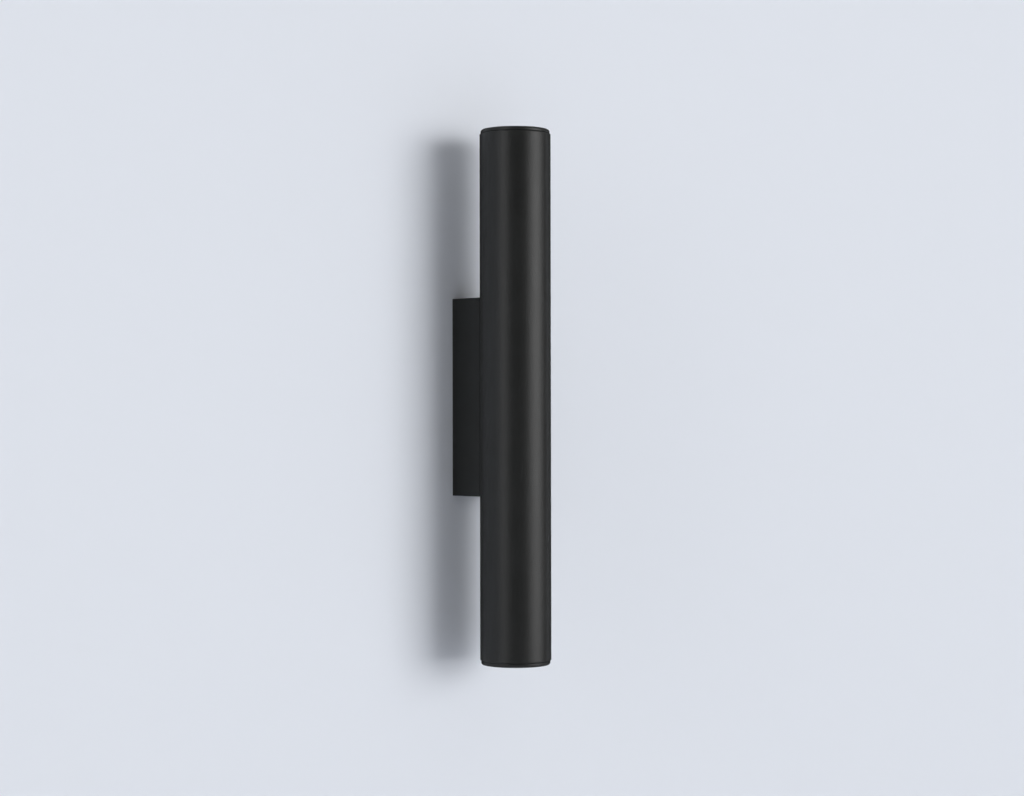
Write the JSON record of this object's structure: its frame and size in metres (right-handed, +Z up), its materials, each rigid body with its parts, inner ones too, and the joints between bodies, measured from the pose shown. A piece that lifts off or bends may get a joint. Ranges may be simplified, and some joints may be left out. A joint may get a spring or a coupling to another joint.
{
  "type": "tube wall light",
  "caption": "Slim black tube wall light that shines up and down, held off the wall by a saddle-cut back box.",
  "frame": {"origin": "centre of the wall plate's back face, on the wall, half way up the tube", "axes": "+Z up along the tube, +Y into the wall, +X to the right for someone facing the wall"},
  "size_m": [0.06, 0.086, 0.45],
  "materials": {
    "black_coated_aluminium": "satin",
    "zinc_plated_steel": "satin",
    "black_steel": "satin",
    "black_rubber": "matte",
    "grey_silicone": "satin",
    "white_ceramic": "matte",
    "copper_alloy": "satin",
    "brass": "satin",
    "white_plastic": "satin",
    "clear_glass": "gloss",
    "clear_plastic": "gloss",
    "white_board": "matte",
    "lamp_aluminium": "satin",
    "brown_wire": "satin",
    "blue_wire": "satin",
    "green_wire": "satin"
  },
  "bodies": {
    "wall_mount": {"wall_plate": "zinc_plated_steel", "cable_grommet": "black_rubber"},
    "light": {"tube": "black_coated_aluminium", "back_box": "black_coated_aluminium", "chassis": "zinc_plated_steel", "chassis_nuts": "zinc_plated_steel", "joint_screws": "zinc_plated_steel", "wire_bushing": "black_rubber", "terminal_block": "white_plastic", "terminal_clamps": "brass", "terminal_screws": "zinc_plated_steel", "terminal_fixing_screws": "zinc_plated_steel", "ring_terminal": "zinc_plated_steel", "earth_screw": "zinc_plated_steel", "earth_wire": "green_wire", "top_live_wire": "brown_wire", "top_neutral_wire": "blue_wire", "top_lampholder": "white_ceramic", "top_holder_contacts": "copper_alloy", "top_holder_screws": "zinc_plated_steel", "top_holder_nuts": "zinc_plated_steel", "bottom_live_wire": "brown_wire", "bottom_neutral_wire": "blue_wire", "bottom_lampholder": "white_ceramic", "bottom_holder_contacts": "copper_alloy", "bottom_holder_screws": "zinc_plated_steel", "bottom_holder_nuts": "zinc_plated_steel"},
    "upper_lock_screw": {"upper_lock_screw": "black_steel"},
    "lower_lock_screw": {"lower_lock_screw": "black_steel"},
    "top_seal": {"top_o_ring": "black_rubber"},
    "top_ring": {"top_ring": "black_coated_aluminium", "top_glass": "clear_glass", "top_glass_gasket": "grey_silicone", "top_glass_clip": "zinc_plated_steel"},
    "top_lamp": {"top_lamp_shell": "lamp_aluminium", "top_lamp_lens": "clear_plastic", "top_lamp_led_board": "white_board", "top_lamp_base": "white_plastic", "top_lamp_pins": "brass"},
    "bottom_seal": {"bottom_o_ring": "black_rubber"},
    "bottom_ring": {"bottom_ring": "black_coated_aluminium", "bottom_glass": "clear_glass", "bottom_glass_gasket": "grey_silicone", "bottom_glass_clip": "zinc_plated_steel"},
    "bottom_lamp": {"bottom_lamp_shell": "lamp_aluminium", "bottom_lamp_lens": "clear_plastic", "bottom_lamp_led_board": "white_board", "bottom_lamp_base": "white_plastic", "bottom_lamp_pins": "brass"}
  },
  "joints": [
    {"name": "light_pull_off", "type": "slide", "parent": "wall_mount", "child": "light", "axis": [0, -1, 0], "range_m": [0, 0.06]},
    {"name": "upper_lock_screw_out", "type": "slide", "parent": "light", "child": "upper_lock_screw", "axis": [0, 0, 1], "range_m": [0, 0.0021]},
    {"name": "lower_lock_screw_out", "type": "slide", "parent": "light", "child": "lower_lock_screw", "axis": [0, 0, -1], "range_m": [0, 0.0021]},
    {"name": "top_ring_rise", "type": "slide", "parent": "light", "child": "top_seal", "axis": [0, 0, 1], "range_m": [0, 0.008]},
    {"name": "top_ring_turn", "type": "hinge", "parent": "top_seal", "child": "top_ring", "pos_m": [0, -0.056, 0.2], "axis": [0, 0, 1], "range_deg": [0, 1920]},
    {"name": "top_lamp_twist", "type": "hinge", "parent": "light", "child": "top_lamp", "pos_m": [0, -0.056, 0.15], "axis": [0, 0, 1], "range_deg": [0, 30]},
    {"name": "bottom_ring_rise", "type": "slide", "parent": "light", "child": "bottom_seal", "axis": [0, 0, -1], "range_m": [0, 0.008]},
    {"name": "bottom_ring_turn", "type": "hinge", "parent": "bottom_seal", "child": "bottom_ring", "pos_m": [0, -0.056, -0.2], "axis": [0, 0, -1], "range_deg": [0, 1920]},
    {"name": "bottom_lamp_twist", "type": "hinge", "parent": "light", "child": "bottom_lamp", "pos_m": [0, -0.056, -0.15], "axis": [0, 0, -1], "range_deg": [0, 30]}
  ],
  "couplings": [
    {"joint": "top_ring_rise", "follows": "top_ring_turn", "m_per_rad": 0.00023873},
    {"joint": "bottom_ring_rise", "follows": "bottom_ring_turn", "m_per_rad": 0.00023873}
  ]
}
